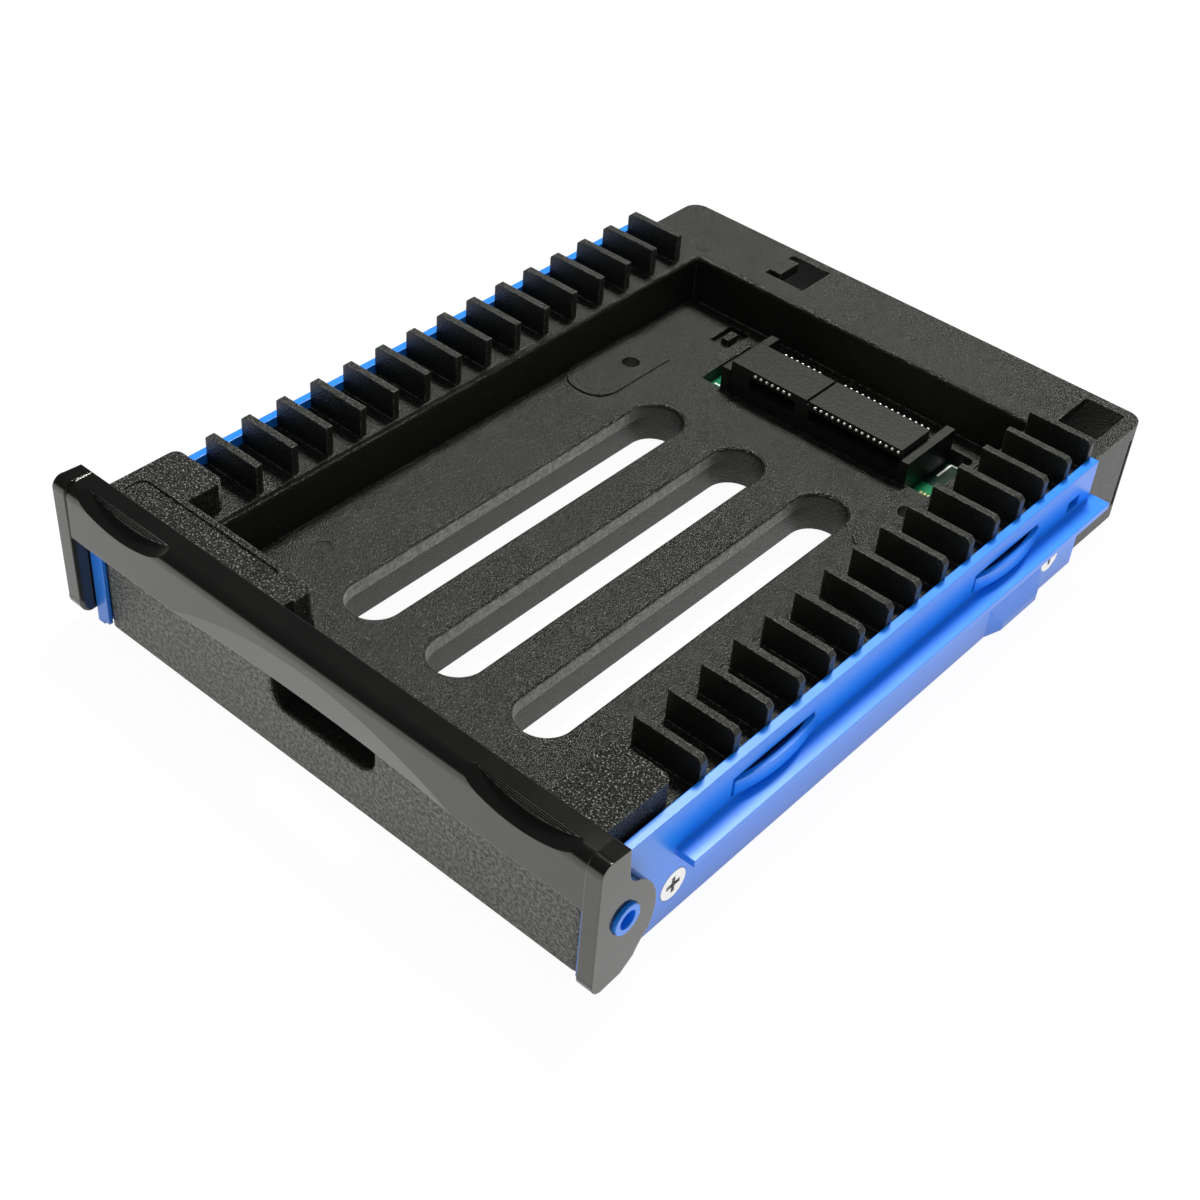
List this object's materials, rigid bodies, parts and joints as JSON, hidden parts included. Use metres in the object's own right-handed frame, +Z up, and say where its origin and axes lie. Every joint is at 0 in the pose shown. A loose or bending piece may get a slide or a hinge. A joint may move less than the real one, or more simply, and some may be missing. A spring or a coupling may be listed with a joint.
{
  "type": "hot swap drive caddy",
  "caption": "Black moulded tray that adapts a small drive to a larger bay, with finned sides, floor slots, blue side rails and a swinging front handle.",
  "frame": {"origin": "bottom of the tray's front face, midway between its sides", "axes": "+X to the right as seen from the front, +Y from the front to the rear plug, +Z up"},
  "size_m": [0.1118, 0.1508, 0.0285],
  "materials": {
    "black_plastic": "fine spark texture",
    "gloss_black": "gloss",
    "blue_plastic": "gloss",
    "board": "satin",
    "connector_black": "satin",
    "contact_metal": "polished",
    "zinc_steel": "polished",
    "brass": "satin",
    "ceramic_tan": "matt",
    "ceramic_dark": "matt"
  },
  "bodies": {
    "caddy": {"tray_body": "black_plastic", "circuit_board": "board", "drive_socket": "connector_black", "socket_signal_contacts": "contact_metal", "socket_power_contacts": "contact_metal", "host_plug": "connector_black", "plug_signal_contacts": "contact_metal", "plug_power_contacts": "contact_metal", "board_cover": "black_plastic", "board_screw_left": "zinc_steel", "board_screw_right": "zinc_steel", "board_capacitors": "ceramic_tan", "board_resistors": "ceramic_dark", "rail_right": "blue_plastic", "rail_left": "blue_plastic", "rail_screw_front_right": "zinc_steel", "rail_screw_rear_right": "zinc_steel", "rail_screw_front_left": "zinc_steel", "rail_screw_rear_left": "zinc_steel", "screw_insert_front_right": "brass", "screw_insert_rear_right": "brass", "screw_insert_front_left": "brass", "screw_insert_rear_left": "brass"},
    "handle_lever": {"handle": "gloss_black"}
  },
  "joints": [
    {"name": "handle_pivot", "type": "hinge", "parent": "caddy", "child": "handle_lever", "pos_m": [0, 0.002, 0.01465], "axis": [1, 0, 0], "range_deg": [0, 90]}
  ]
}
